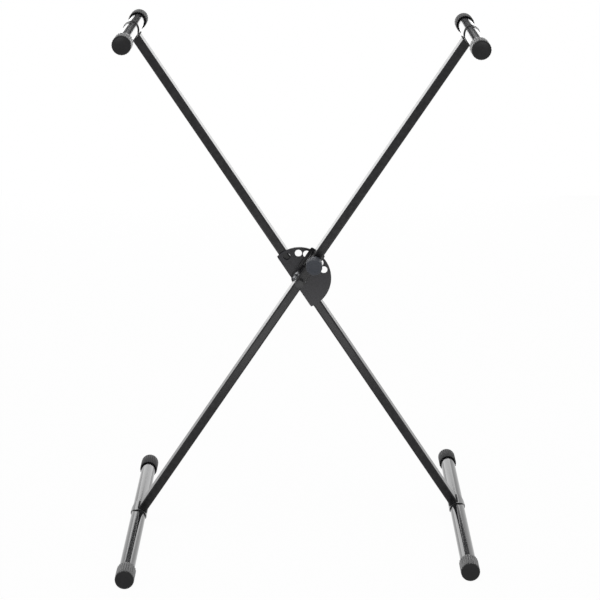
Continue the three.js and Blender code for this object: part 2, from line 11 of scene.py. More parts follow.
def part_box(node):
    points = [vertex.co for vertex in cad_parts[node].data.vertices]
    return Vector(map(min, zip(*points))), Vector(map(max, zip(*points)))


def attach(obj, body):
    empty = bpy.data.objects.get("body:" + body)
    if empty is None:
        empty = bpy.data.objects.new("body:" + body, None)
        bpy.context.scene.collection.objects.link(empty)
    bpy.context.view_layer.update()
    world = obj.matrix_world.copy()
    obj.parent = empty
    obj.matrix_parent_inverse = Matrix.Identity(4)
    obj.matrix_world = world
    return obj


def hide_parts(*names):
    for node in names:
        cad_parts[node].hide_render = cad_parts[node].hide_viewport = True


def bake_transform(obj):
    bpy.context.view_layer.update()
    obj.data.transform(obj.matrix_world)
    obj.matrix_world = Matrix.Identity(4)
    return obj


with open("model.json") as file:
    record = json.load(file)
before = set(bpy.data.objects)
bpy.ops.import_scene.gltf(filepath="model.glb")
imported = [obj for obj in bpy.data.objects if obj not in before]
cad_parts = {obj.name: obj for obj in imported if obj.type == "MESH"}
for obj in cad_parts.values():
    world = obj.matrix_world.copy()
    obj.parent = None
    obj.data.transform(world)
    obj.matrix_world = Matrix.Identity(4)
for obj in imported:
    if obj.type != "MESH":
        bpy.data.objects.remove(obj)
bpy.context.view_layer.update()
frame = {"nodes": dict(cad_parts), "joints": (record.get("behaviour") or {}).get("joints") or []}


# ---- Legs
# Two lengths of 30 x 15 mm rectangular steel tube in satin black powder coat. Each is saddle-cut
# at both ends to sit on its collars and drilled for the pivot; the front one for the lock pin too.
SEAT_GAP = 0.0003
LEG_FACE = 0.015
LEG_DEPTH = 0.030
LEG_WALL = 0.0015
LEG_CORNER = 0.0025
LEG_CORNER_STEPS = 5
COLLAR_RADIUS = 0.0143
PIVOT_HOLE = 0.0058
GUIDE_HOLE = 0.0053
NOSE_HOLE = 0.0058
OVERRUN = 0.002
ROUND_STEPS = 96
LIE_ALONG_Y = Matrix.Rotation(math.radians(90), 4, "X")

joints = {joint["name"]: joint for joint in frame["joints"]}
pivot = Vector(joints["legs_fold"]["pos_m"])


def middle(node):
    """The middle of a node's box."""
    low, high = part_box(node)
    return (low + high) / 2


def leg_axes(foot, arm):
    """From a leg's own axes, +Z up the leg from the pivot, to the stand's."""
    rise = middle(arm) - middle(foot)
    lean = math.atan2(rise.x, rise.z)
    return Matrix.Translation((0, 0, pivot.z)) @ Matrix.Rotation(lean, 4, "Y")


rear_axes = leg_axes("right_foot_tube", "left_arm_tube")
front_axes = leg_axes("left_foot_tube", "right_arm_tube")
leg_rise = middle("right_arm_tube") - middle("left_foot_tube")
leg_length = math.hypot(leg_rise.x, leg_rise.z)
rear_leg_y = middle("rear_leg").y
front_leg_y = middle("front_leg").y
pin_height = (front_axes.inverted() @ middle("lock_pin")).z


def surface(
    name, colour, roughness, cloud_scale, cloud_detail=2, pale=None, pale_span=(0, 1),
    grain_scale=None, grain_detail=2, grain_strength=0, grain_depth=0, specular=0.5, metallic=0,
):
    """A finish on the piece's own coordinates. A cloudy noise moves the roughness through its
    range, and the colour towards pale over pale_span; a finer grain stands in relief."""
    material = bpy.data.materials.new(name)
    material.use_nodes = True
    nodes, links = material.node_tree.nodes, material.node_tree.links
    shader = nodes["Principled BSDF"]
    shader.inputs["Specular IOR Level"].default_value = specular
    shader.inputs["Metallic"].default_value = metallic
    place = nodes.new("ShaderNodeTexCoord")
    cloud = nodes.new("ShaderNodeTexNoise")
    cloud.inputs["Scale"].default_value = cloud_scale
    cloud.inputs["Detail"].default_value = cloud_detail
    links.new(place.outputs["Object"], cloud.inputs["Vector"])
    sheen = nodes.new("ShaderNodeMapRange")
    sheen.inputs["To Min"].default_value, sheen.inputs["To Max"].default_value = roughness
    links.new(cloud.outputs["Fac"], sheen.inputs["Value"])
    links.new(sheen.outputs["Result"], shader.inputs["Roughness"])
    if pale is None:
        shader.inputs["Base Color"].default_value = colour
    else:
        tint = nodes.new("ShaderNodeValToRGB")
        stops = tint.color_ramp.elements
        stops[0].position, stops[1].position = pale_span
        stops[0].color, stops[1].color = colour, pale
        links.new(cloud.outputs["Fac"], tint.inputs["Fac"])
        links.new(tint.outputs["Color"], shader.inputs["Base Color"])
    if grain_scale is not None:
        grain = nodes.new("ShaderNodeTexNoise")
        grain.inputs["Scale"].default_value = grain_scale
        grain.inputs["Detail"].default_value = grain_detail
        bump = nodes.new("ShaderNodeBump")
        bump.inputs["Strength"].default_value = grain_strength
        bump.inputs["Distance"].default_value = grain_depth
        links.new(place.outputs["Object"], grain.inputs["Vector"])
        links.new(grain.outputs["Fac"], bump.inputs["Height"])
        links.new(bump.outputs["Normal"], shader.inputs["Normal"])
    return material


def powder_coat(name, colour, pale, peel_strength):
    """Black powder coat: faint mottling and fine orange peel."""
    return surface(
        name, colour=colour, pale=pale, pale_span=(0.38, 0.64), roughness=(0.17, 0.26),
        cloud_scale=160, cloud_detail=6, grain_scale=900, grain_strength=peel_strength,
        grain_depth=0.0002, specular=0.3,
    )


def loose_object(bm, name="workpiece"):
    """The bmesh as an object in the scene."""
    mesh = bpy.data.meshes.new(name)
    bm.to_mesh(mesh)
    bm.free()
    item = bpy.data.objects.new(name, mesh)
    bpy.context.scene.collection.objects.link(item)
    return item


def carved(bm, *tools):
    """The bmesh with each of the tools cut out of it."""
    work = loose_object(bm)
    cutters = [loose_object(tool, "cutter") for tool in tools]
    for cutter in cutters:
        cut = work.modifiers.new("cut", "BOOLEAN")
        cut.operation = "DIFFERENCE"
        cut.solver = "EXACT"
        cut.object = cutter
    result = bmesh.new()
    result.from_object(work, bpy.context.evaluated_depsgraph_get())
    for spare in [work, *cutters]:
        bpy.data.objects.remove(spare)
    return result


def fitted(bm, name, body, material, nodes=(), axes=None, sharp=32, flats=False):
    """A finished piece from a bmesh: placed, shaded, coated, riding on its body."""
    if axes is not None:
        bm.transform(axes)
    item = loose_object(bm, name)
    item.data.materials.append(material)
    item.data.shade_smooth()
    item.data.set_sharp_from_angle(angle=math.radians(sharp))
    if flats:
        even = item.modifiers.new("even_flats", "WEIGHTED_NORMAL")
        even.weight = 100
        even.keep_sharp = True
    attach(item, body)
    if nodes:
        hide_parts(*nodes)
    return item


def round_bar(radius, y_from, y_to, x=0.0, z=0.0, steps=ROUND_STEPS):
    """A plain round bar along Y."""
    bm = bmesh.new()
    bmesh.ops.create_cone(
        bm,
        cap_ends=True,
        segments=steps,
        radius1=radius,
        radius2=radius,
        depth=y_to - y_from,
    )
    bm.transform(Matrix.Translation((x, (y_from + y_to) / 2, z)) @ LIE_ALONG_Y)
    return bm


def rounded_bar(width, depth, length, corner, y):
    """A rectangular bar along Z with rounded long edges."""
    bm = bmesh.new()
    bmesh.ops.create_cube(bm, size=1)
    bm.transform(Matrix.Translation((0, y, 0)) @ Matrix.Diagonal((width, depth, length, 1)))
    upright = [e for e in bm.edges if abs(e.verts[0].co.z - e.verts[1].co.z) > length / 2]
    bmesh.ops.bevel(
        bm,
        geom=upright,
        offset=corner,
        segments=LEG_CORNER_STEPS,
        profile=0.5,
        affect="EDGES",
        material=-1,
    )
    return bm


def leg_tube(y, *more_holes):
    """A leg in its own axes: walls, saddles at both ends, the pivot hole and any others."""
    outside = rounded_bar(LEG_FACE, LEG_DEPTH, leg_length, LEG_CORNER, y)
    inside = rounded_bar(
        LEG_FACE - 2 * LEG_WALL,
        LEG_DEPTH - 2 * LEG_WALL,
        leg_length + OVERRUN,
        LEG_CORNER - LEG_WALL,
        y,
    )
    saddles = [
        round_bar(COLLAR_RADIUS + SEAT_GAP, y - LEG_DEPTH, y + LEG_DEPTH, z=end * leg_length / 2)
        for end in (-1, 1)
    ]
    pivot_hole = round_bar(PIVOT_HOLE, y - LEG_DEPTH, y + LEG_DEPTH)
    return carved(outside, inside, *saddles, pivot_hole, *more_holes)


coat = powder_coat(
    "satin_powder_coat", (0.004, 0.004, 0.005, 1), (0.016, 0.0157, 0.017, 1), peel_strength=0.2,
)
front_leg_face = front_leg_y - LEG_DEPTH / 2
front_leg_back = front_leg_y + LEG_DEPTH / 2
fitted(
    leg_tube(rear_leg_y), "coated_rear_leg", "rear_frame", coat,
    nodes=["rear_leg"], axes=rear_axes, flats=True,
)
fitted(
    leg_tube(
        front_leg_y,
        round_bar(GUIDE_HOLE, front_leg_face - OVERRUN, front_leg_y, z=pin_height),
        round_bar(NOSE_HOLE, front_leg_y, front_leg_back + OVERRUN, z=pin_height),
    ),
    "coated_front_leg", "front_frame", coat,
    nodes=["front_leg"], axes=front_axes, flats=True,
)


# ---- Foot and arm tubes
# Four lengths of 25 mm round steel tube in a smoother, glossier black coat than the legs.
# They run front to back through the collars, and their ends are pushed into the rubber caps.
TUBE_RADIUS = 0.0125
TUBE_WALL = 0.0015
TUBE_EDGE = 0.0003
SAME_POINT = 1e-7
TUBES = {
    "right_foot": ("rear_frame", rear_axes),
    "left_arm": ("rear_frame", rear_axes),
    "left_foot": ("front_frame", front_axes),
    "right_arm": ("front_frame", front_axes),
}


def turned(points, steps=ROUND_STEPS):
    """A form turned about Y from (radius, y) points; a closed outline ends where it starts."""
    bm = bmesh.new()
    closed = points[0] == points[-1]
    outline = points[:-1] if closed else points
    corners = [bm.verts.new((radius, y, 0)) for radius, y in outline]
    sides = [bm.edges.new(pair) for pair in zip(corners, corners[1:])]
    if closed:
        sides.append(bm.edges.new((corners[-1], corners[0])))
    bmesh.ops.spin(
        bm,
        geom=corners + sides,
        cent=(0, 0, 0),
        axis=(0, 1, 0),
        dvec=(0, 0, 0),
        angle=2 * math.pi,
        steps=steps,
        use_merge=True,
    )
    bmesh.ops.remove_doubles(bm, verts=bm.verts, dist=SAME_POINT)
    bmesh.ops.recalc_face_normals(bm, faces=bm.faces)
    return bm


def ring_outline(inner, outer, y_from, y_to, edge):
    """The (radius, y) outline of a ring whose outer edges are broken."""
    return [
        (inner, y_from),
        (outer - edge, y_from),
        (outer, y_from + edge),
        (outer, y_to - edge),
        (outer - edge, y_to),
        (inner, y_to),
        (inner, y_from),
    ]


# Gloss black coat: its shine varies in soft patches over a very fine orange peel.
gloss = surface(
    "gloss_tube_coat", colour=(0.012, 0.012, 0.014, 1), roughness=(0.07, 0.13),
    cloud_scale=120, cloud_detail=4, grain_scale=700, grain_detail=1, grain_strength=0.015,
    grain_depth=0.0001, specular=1,
)
for tube, (body, _) in TUBES.items():
    low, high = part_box(f"{tube}_tube")
    centre = middle(f"{tube}_tube")
    outline = ring_outline(TUBE_RADIUS - TUBE_WALL, TUBE_RADIUS, low.y, high.y, TUBE_EDGE)
    fitted(
        turned(outline), f"gloss_{tube}_tube", body, gloss,
        nodes=[f"{tube}_tube"], axes=Matrix.Translation((centre.x, 0, centre.z)),
    )


# ---- Collars
# Steel sleeves welded to the leg ends; the tubes pass through them. Each is a wide saddle on the
# leg's side and narrows to a strap round the far side. They carry the tubes' gloss coat.
COLLAR_EDGE = 0.0003
STRAP_LENGTH = 0.006
STRAP_SLOPE_START = -0.009
STRAP_SLOPE_END = 0.005


def strap_cutter(y_end, y_strap):
    """What is cut from one end of a sleeve to leave half of its strap; +Z is the far side."""
    reach = COLLAR_RADIUS + OVERRUN
    beyond = y_end + math.copysign(OVERRUN, y_end - y_strap)
    side = [
        (beyond, STRAP_SLOPE_START),
        (y_end, STRAP_SLOPE_START),
        (y_strap, STRAP_SLOPE_END),
        (y_strap, reach),
        (beyond, reach),
    ]
    bm = bmesh.new()
    face = bm.faces.new([bm.verts.new((-reach, y, z)) for y, z in side])
    grown = bmesh.ops.extrude_face_region(bm, geom=[face])["geom"]
    moved = [g for g in grown if isinstance(g, bmesh.types.BMVert)]
    bmesh.ops.translate(bm, verts=moved, vec=(2 * reach, 0, 0))
    bmesh.ops.recalc_face_normals(bm, faces=bm.faces)
    return bm


def rounded_edges(item, width, segments=2):
    """Breaks the sharp edges of a finished piece."""
    edge = item.modifiers.new("broken_edges", "BEVEL")
    edge.width = width
    edge.segments = segments
    edge.limit_method = "ANGLE"
    edge.angle_limit = math.radians(40)
    edge.harden_normals = True
    return item


for tube, (body, axes) in TUBES.items():
    low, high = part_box(f"{tube}_collar")
    sleeve = carved(
        turned(ring_outline(TUBE_RADIUS + SEAT_GAP, COLLAR_RADIUS, low.y, high.y, 0)),
        strap_cutter(low.y, middle(f"{tube}_collar").y - STRAP_LENGTH / 2),
        strap_cutter(high.y, middle(f"{tube}_collar").y + STRAP_LENGTH / 2),
    )
    foot = tube.endswith("foot")
    far_side_up = Matrix.Rotation(math.pi if foot else 0, 4, "Y")
    at_end = Matrix.Translation((0, 0, (-leg_length if foot else leg_length) / 2))
    collar = fitted(
        sleeve, f"gloss_{tube}_collar", body, gloss,
        nodes=[f"{tube}_collar"], axes=axes @ at_end @ far_side_up,
    )
    rounded_edges(collar, COLLAR_EDGE)


# ---- Rubber end caps
# Eight moulded black rubber caps, fluted round the side for grip, with a plain band and a
# slightly dished face at the closed end. They are pushed over the tube ends.
CAP_RADIUS = 0.0155
CAP_END = 0.004
CAP_BAND = 0.0025
CAP_BAND_INSET = 0.0004
CAP_EDGE = 0.0012
CAP_EDGE_STEPS = 3
CAP_DISH = 0.00025
CAP_DISH_RADIUS = 0.0125
CAP_DISH_SLOPE = 0.0005
CAP_BORE = TUBE_RADIUS + SEAT_GAP
FLUTES = 24
FLUTE_STEPS = 10
FLUTE_DEPTH = 0.0009
FLUTE_CREST = 0.45
FLUTE_START = 0.0002
FLUTE_START_SHARE = 0.6
FLUTE_RUNOUT = 0.0008
POLE_RADIUS = 1e-5
NEARLY = 1e-5


def groove_depth(angle, count, crest):
    """How far into a groove an angle lies: 0 on a crest, 1 at the bottom."""
    wave = 0.5 - 0.5 * math.cos(count * angle)
    share = max(0.0, (wave - crest) / (1 - crest))
    return share * share * (3 - 2 * share)


def next_ring(bm, loop):
    """Grows a ring of edges by one more ring; gives the new ring's edges and its corners."""
    grown = bmesh.ops.extrude_edge_only(bm, edges=loop)["geom"]
    edges = [g for g in grown if isinstance(g, bmesh.types.BMEdge) and len(g.link_faces) == 1]
    corners = [g for g in grown if isinstance(g, bmesh.types.BMVert)]
    return edges, corners


def fluted_form(rings, count, crest, steps):
    """A closed form about Y from (y, radius, groove depth) rings; the ends are drawn to a point."""
    bm = bmesh.new()
    bmesh.ops.create_circle(bm, segments=count * steps, radius=1)
    loop, corners = list(bm.edges), list(bm.verts)
    angles = {v: math.atan2(v.co.y, v.co.x) for v in corners}
    for number, (y, radius, depth) in enumerate(rings):
        if number:
            loop, corners = next_ring(bm, loop)
            angles = {v: math.atan2(v.co.z, v.co.x) for v in corners}
        for v in corners:
            reach = radius - depth * groove_depth(angles[v], count, crest)
            v.co = (reach * math.cos(angles[v]), y, reach * math.sin(angles[v]))
    for end in (rings[0][0], rings[-1][0]):
        tip = [
            v for v in bm.verts
            if abs(v.co.y - end) < NEARLY and v.co.xz.length < 10 * POLE_RADIUS
        ]
        if tip:
            bmesh.ops.pointmerge(bm, verts=tip, merge_co=(0, end, 0))
    bmesh.ops.recalc_face_normals(bm, faces=bm.faces)
    return bm


def end_cap(length):
    """A cap with its closed face at y = 0 and its open rim towards +Y."""
    band = CAP_RADIUS - CAP_BAND_INSET
    rings = [
        (CAP_DISH, POLE_RADIUS, 0),
        (CAP_DISH, CAP_DISH_RADIUS - CAP_DISH_SLOPE, 0),
        (0, CAP_DISH_RADIUS, 0),
        (0, band - CAP_EDGE, 0),
    ]
    for step in range(1, CAP_EDGE_STEPS + 1):
        turn = math.radians(90 * step / CAP_EDGE_STEPS)
        inward = CAP_EDGE * (1 - math.sin(turn))
        rings.append((CAP_EDGE * (1 - math.cos(turn)), band - inward, 0))
    rings += [
        (CAP_BAND, band, 0),
        (CAP_BAND + FLUTE_START, CAP_RADIUS, FLUTE_DEPTH * FLUTE_START_SHARE),
        (CAP_BAND + FLUTE_RUNOUT, CAP_RADIUS, FLUTE_DEPTH),
        (length - CAP_EDGE / 2, CAP_RADIUS, FLUTE_DEPTH),
        (length, CAP_RADIUS - CAP_EDGE / 3, FLUTE_DEPTH),
        (length, CAP_BORE + CAP_EDGE / 3, 0),
        (length - CAP_EDGE / 3, CAP_BORE, 0),
        (CAP_END, CAP_BORE, 0),
        (CAP_END, POLE_RADIUS, 0),
    ]
    return fluted_form(rings, FLUTES, FLUTE_CREST, FLUTE_STEPS)


# Moulded black rubber: a fine grain, paler where handling has dulled it.
rubber = surface(
    "moulded_cap_rubber", colour=(0.0022, 0.002, 0.0027, 1), pale=(0.0068, 0.0063, 0.0075, 1),
    pale_span=(0.38, 0.7), roughness=(0.28, 0.42), cloud_scale=180, cloud_detail=5,
    grain_scale=1600, grain_strength=0.35, grain_depth=0.0001, specular=0.3,
)
for tube, (body, _) in TUBES.items():
    for end in ("front", "back"):
        node = f"{tube}_{end}_cap"
        low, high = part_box(node)
        centre = middle(node)
        face = low.y if end == "front" else high.y
        facing = Matrix.Rotation(0 if end == "front" else math.pi, 4, "Z")
        fitted(
            end_cap(high.y - low.y), f"rubber_{node}", body, rubber,
            nodes=[node], axes=Matrix.Translation((centre.x, face, centre.z)) @ facing, sharp=50,
        )


# ---- Lock plate
# A D-shaped plate of 3 mm steel, laser cut with a row of holes on the circle that the lock pin
# sweeps, and welded flat to the front of the rear leg. Powder coated with the leg.
PLATE_RADIUS = 0.0535
PLATE_CHORD = 0.0113
PLATE_CORNER = 0.004
PLATE_CORNER_STEPS = 8
PLATE_ARC_STEPS = 160
PLATE_HOLE = 0.006
PLATE_EDGE = 0.0004
HOLE_STEP = math.radians(18.25)
BOLT_HOLE = 0.0043
SMALL_STEPS = 48

plate_low, plate_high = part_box("lock_plate")


def lock_plate():
    """The plate in the rear leg's axes: its chord on the left, five height holes, a folded one."""
    bm = bmesh.new()
    bmesh.ops.create_circle(bm, segments=PLATE_ARC_STEPS, radius=PLATE_RADIUS, cap_ends=True)
    bm.transform(LIE_ALONG_Y)
    bmesh.ops.bisect_plane(
        bm,
        geom=list(bm.verts) + list(bm.edges) + list(bm.faces),
        dist=SAME_POINT,
        plane_co=(-PLATE_CHORD, 0, 0),
        plane_no=(-1, 0, 0),
        clear_outer=True,
    )
    thick = bmesh.ops.extrude_face_region(bm, geom=list(bm.faces))["geom"]
    moved = [g for g in thick if isinstance(g, bmesh.types.BMVert)]
    bmesh.ops.translate(bm, verts=moved, vec=(0, plate_high.y - plate_low.y, 0))
    bmesh.ops.translate(bm, verts=bm.verts, vec=(0, plate_low.y, 0))
    corners = [
        e for e in bm.edges
        if all(abs(v.co.x + PLATE_CHORD) < NEARLY for v in e.verts)
        and abs(e.verts[0].co.z - e.verts[1].co.z) < NEARLY
    ]
    bmesh.ops.bevel(
        bm,
        geom=corners,
        offset=PLATE_CORNER,
        segments=PLATE_CORNER_STEPS,
        profile=0.5,
        affect="EDGES",
        material=-1,
    )
    bmesh.ops.recalc_face_normals(bm, faces=bm.faces)
    low, high = plate_low.y - OVERRUN, plate_high.y + OVERRUN
    rest_angle = 2 * math.atan2(leg_rise.x, leg_rise.z)
    angles = [rest_angle + math.radians(joints["legs_fold"]["range_deg"][0])]
    angles += [rest_angle + step * HOLE_STEP for step in (-2, -1, 0, 1, 2)]
    holes = [
        round_bar(
            PLATE_HOLE, low, high,
            x=pin_height * math.sin(angle), z=pin_height * math.cos(angle), steps=SMALL_STEPS,
        )
        for angle in angles
    ]
    return carved(bm, *holes, round_bar(BOLT_HOLE, low, high, steps=SMALL_STEPS))


smooth_coat = powder_coat(
    "smooth_powder_coat", (0.0105, 0.0098, 0.0135, 1), (0.0175, 0.0165, 0.0215, 1),
    peel_strength=0.12,
)
plate = fitted(
    lock_plate(), "coated_lock_plate", "rear_frame", smooth_coat,
    nodes=["lock_plate"], axes=rear_axes,
)
rounded_edges(plate, PLATE_EDGE)


# ---- Pivot hardware
# A black hexagon bolt with its black washer in front, a black nylon and a bright zinc washer
# between plate and front leg, a zinc plated washer and lock nut behind, and a bush in each leg.
BOLT_RADIUS = 0.004
SHANK_RADIUS = BOLT_RADIUS - 0.00005
HEAD_FLATS = 0.013
HEAD_HEIGHT = 0.0055
HEX_CHAMFER = 0.001
HEX_CHAMFER_START = 0.0002
THREAD_PITCH = 0.00125
THREAD_DEPTH = 0.0005
THREAD_ROOT = 1.4 * THREAD_DEPTH
THREAD_HALF_ROOT = 0.48 * THREAD_PITCH
THREAD_HALF_CREST = 0.06 * THREAD_PITCH
THREAD_STEPS = 32
NUT_HEX_HEIGHT = 0.0058
NUT_INSERT_RADIUS = 0.006
TIP_CHAMFER = 0.0008
WASHER_EDGE = 0.0002


def hex_block(flats, y_from, y_to):
    """A hexagonal block along Y, its corners chamfered at the front."""
    bm = bmesh.new()
    corner = flats / math.sqrt(3)
    bmesh.ops.create_cone(
        bm, cap_ends=True, segments=6, radius1=corner, radius2=corner, depth=y_to - y_from,
    )
    flats_level = Matrix.Rotation(math.radians(30), 4, "Z")
    bm.transform(Matrix.Translation((0, (y_from + y_to) / 2, 0)) @ (LIE_ALONG_Y @ flats_level))
    shell = turned([
        (flats / 2 + HEX_CHAMFER_START, y_from - OVERRUN),
        (2 * corner, y_from - OVERRUN),
        (2 * corner, y_from + 2 * HEX_CHAMFER + corner - flats / 2),
        (flats / 2 + HEX_CHAMFER_START, y_from),
        (flats / 2 + HEX_CHAMFER_START, y_from - OVERRUN),
    ])
    return carved(bm, shell)


def thread(radius, y_from, y_to):
    """The bolt's thread: a V ridge wound along Y on the core of the shank."""
    bm = bmesh.new()
    turns = (y_to - y_from) / THREAD_PITCH
    steps = round(turns * THREAD_STEPS)
    outline = [
        (radius - THREAD_ROOT, y_from - THREAD_HALF_ROOT),
        (radius, y_from - THREAD_HALF_CREST),
        (radius, y_from + THREAD_HALF_CREST),
        (radius - THREAD_ROOT, y_from + THREAD_HALF_ROOT),
    ]
    corners = [bm.verts.new((r, y, 0)) for r, y in outline]
    face = bm.faces.new(corners)
    bmesh.ops.spin(
        bm,
        geom=[face, *face.edges, *corners],
        cent=(0, 0, 0),
        axis=(0, 1, 0),
        dvec=(0, (y_to - y_from) / steps, 0),
        angle=2 * math.pi * turns,
        steps=steps,
        use_merge=False,
    )
    bmesh.ops.recalc_face_normals(bm, faces=bm.faces)
    return bm


def merged(*parts):
    """Several bmeshes as one."""
    whole = bmesh.new()
    for part in parts:
        mesh = bpy.data.meshes.new("part")
        part.to_mesh(mesh)
        part.free()
        whole.from_mesh(mesh)
        bpy.data.meshes.remove(mesh)
    return whole


# Bright zinc plate: brushed by tumbling and clouded, with a faint blue cast.
zinc = surface(
    "bright_zinc_plate", colour=(0.07, 0.073, 0.077, 1), pale=(0.6, 0.61, 0.63, 1),
    pale_span=(0.46, 0.62), roughness=(0.22, 0.42), cloud_scale=260, cloud_detail=6,
    grain_scale=2400, grain_strength=0.2, grain_depth=0.00005, metallic=1,
)
# Black nylon, as cut from sheet: a low sheen that varies finely.
nylon = surface(
    "black_nylon", colour=(0.012, 0.012, 0.013, 1), roughness=(0.45, 0.65), cloud_scale=1200,
)
# Black-finished steel: dark oxide with a satin oil film and paler rubbed patches.
dark_steel = surface(
    "black_finished_steel", colour=(0.006, 0.006, 0.007, 1), pale=(0.022, 0.022, 0.024, 1),
    pale_span=(0.4, 0.68), roughness=(0.3, 0.45), cloud_scale=420, cloud_detail=5,
)

bolt_low, bolt_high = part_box("pivot_bolt")
nut_low, nut_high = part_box("lock_nut")
head_back = bolt_low.y + HEAD_HEIGHT
head = hex_block(HEAD_FLATS, bolt_low.y, head_back)
core = BOLT_RADIUS - THREAD_DEPTH
shank = turned([
    (0, head_back - OVERRUN),
    (SHANK_RADIUS, head_back - OVERRUN),
    (SHANK_RADIUS, nut_low.y),
    (core, nut_low.y + THREAD_DEPTH),
    (core, bolt_high.y - TIP_CHAMFER / 2),
    (core - TIP_CHAMFER / 2, bolt_high.y),
    (0, bolt_high.y),
], SMALL_STEPS)
ridge = thread(BOLT_RADIUS, nut_low.y + THREAD_PITCH, bolt_high.y - TIP_CHAMFER)
fitted(
    merged(head, shank, ridge), "black_pivot_bolt", "rear_frame", dark_steel,
    nodes=["pivot_bolt"], axes=rear_axes,
)
nut_shoulder = nut_low.y + NUT_HEX_HEIGHT
nut_body = carved(
    hex_block(HEAD_FLATS, nut_low.y, nut_shoulder),
    round_bar(BOLT_HOLE, nut_low.y - OVERRUN, nut_high.y + OVERRUN, steps=SMALL_STEPS),
)
insert = turned([
    (BOLT_HOLE, nut_shoulder - OVERRUN),
    (NUT_INSERT_RADIUS, nut_shoulder - OVERRUN),
    (NUT_INSERT_RADIUS, nut_high.y - TIP_CHAMFER),
    (NUT_INSERT_RADIUS - TIP_CHAMFER, nut_high.y),
    (BOLT_HOLE, nut_high.y),
    (BOLT_HOLE, nut_shoulder - OVERRUN),
])
fitted(
    merged(nut_body, insert), "zinc_lock_nut", "rear_frame", zinc,
    nodes=["lock_nut"], axes=rear_axes,
)
for washer, (slot, material) in {
    "head_washer": ("black_steel", dark_steel),
    "nylon_washer": ("nylon", nylon),
    "spacer_washer": ("zinc", zinc),
    "nut_washer": ("zinc", zinc),
}.items():
    low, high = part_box(washer)
    outline = ring_outline(BOLT_HOLE, (high.x - low.x) / 2, low.y, high.y, WASHER_EDGE)
    fitted(
        turned(outline), f"{slot}_{washer}", "rear_frame", material,
        nodes=[washer], axes=Matrix.Translation((0, 0, pivot.z)),
    )
for bush in ("rear_leg_bush", "front_leg_bush"):
    for material_slot in frame["nodes"][bush].material_slots:
        material_slot.material = zinc


# ---- Lock bracket
# A folded saddle of 1.8 mm sheet behind the front leg; its two ears are welded to the leg's
# sides, and the lock pin comes out through it. Powder coated with the leg.
BRACKET_EDGE = 0.0004
BRACKET_MERGE = 0.00001

bracket_mesh = bmesh.new()
bracket_mesh.from_mesh(frame["nodes"]["lock_bracket"].data)
bmesh.ops.remove_doubles(bracket_mesh, verts=bracket_mesh.verts, dist=BRACKET_MERGE)
bmesh.ops.dissolve_limit(
    bracket_mesh,
    angle_limit=math.radians(1),
    verts=bracket_mesh.verts,
    edges=bracket_mesh.edges,
)
bracket = fitted(
    bracket_mesh, "coated_lock_bracket", "front_frame", coat, nodes=["lock_bracket"],
)
rounded_edges(bracket, BRACKET_EDGE)


# ---- Lock pin, guide bush and spring
# A turned steel pin with a thin stem and a thick nose; the stem runs in a flanged bush in the
# leg's front wall, and the spring round it drives the nose into the plate. Zinc plated.
STEM_RADIUS = 0.0035
NOSE_RADIUS = 0.0055
NOSE_CHAMFER = 0.001
GUIDE_FLANGE = 0.007
GUIDE_NECK = 0.005
GUIDE_FLANGE_THICKNESS = 0.002
PIN_STEPS = 64
SPRING_WIRE = 0.0005
SPRING_RADIUS = 0.0047
SPRING_TURNS = 6
SPRING_STEPS = 24
SPRING_SIDES = 10

at_pin = front_axes @ Matrix.Translation((0, 0, pin_height))
pin_low, pin_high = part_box("lock_pin")
spring_low, spring_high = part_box("lock_spring")
nose_shoulder = spring_high.y + SEAT_GAP
fitted(
    turned([
        (0, pin_low.y),
        (STEM_RADIUS, pin_low.y),
        (STEM_RADIUS, nose_shoulder),
        (NOSE_RADIUS, nose_shoulder),
        (NOSE_RADIUS, pin_high.y - NOSE_CHAMFER),
        (NOSE_RADIUS - NOSE_CHAMFER, pin_high.y),
        (0, pin_high.y),
    ], PIN_STEPS),
    "zinc_lock_pin", "lock_plunger", zinc, nodes=["lock_pin"], axes=at_pin,
)
guide_low, guide_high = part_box("guide_bush")
guide_shoulder = guide_low.y + GUIDE_FLANGE_THICKNESS
fitted(
    turned([
        (STEM_RADIUS + SEAT_GAP, guide_low.y),
        (GUIDE_FLANGE - WASHER_EDGE, guide_low.y),
        (GUIDE_FLANGE, guide_low.y + WASHER_EDGE),
        (GUIDE_FLANGE, guide_shoulder),
        (GUIDE_NECK, guide_shoulder),
        (GUIDE_NECK, guide_high.y),
        (STEM_RADIUS + SEAT_GAP, guide_high.y),
        (STEM_RADIUS + SEAT_GAP, guide_low.y),
    ], PIN_STEPS),
    "zinc_guide_bush", "front_frame", zinc, nodes=["guide_bush"], axes=at_pin,
)


def coil(y_from, y_to):
    """Spring wire wound about Y."""
    bm = bmesh.new()
    wire = bmesh.ops.create_circle(bm, cap_ends=True, segments=SPRING_SIDES, radius=SPRING_WIRE)
    start = Vector((SPRING_RADIUS, y_from + SPRING_WIRE, 0))
    bmesh.ops.translate(bm, verts=wire["verts"], vec=start)
    steps = SPRING_TURNS * SPRING_STEPS
    rise = (y_to - y_from - 2 * SPRING_WIRE) / steps
    bmesh.ops.spin(
        bm,
        geom=list(bm.faces) + list(bm.edges) + list(bm.verts),
        cent=(0, 0, 0),
        axis=(0, 1, 0),
        dvec=(0, rise, 0),
        angle=2 * math.pi * SPRING_TURNS,
        steps=steps,
        use_merge=False,
    )
    bmesh.ops.recalc_face_normals(bm, faces=bm.faces)
    return bm


# Drawn spring wire, oiled: bright steel whose sheen varies finely.
spring_wire = surface(
    "oiled_spring_wire", colour=(0.32, 0.33, 0.35, 1), roughness=(0.2, 0.4),
    cloud_scale=1500, metallic=1,
)
coil_mesh = coil(spring_low.y, spring_high.y)
coil_mesh.transform(at_pin)
spring = loose_object(coil_mesh, "wire_lock_spring")
spring.data.materials.append(spring_wire)
spring.data.shade_smooth()
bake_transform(spring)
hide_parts("lock_spring")


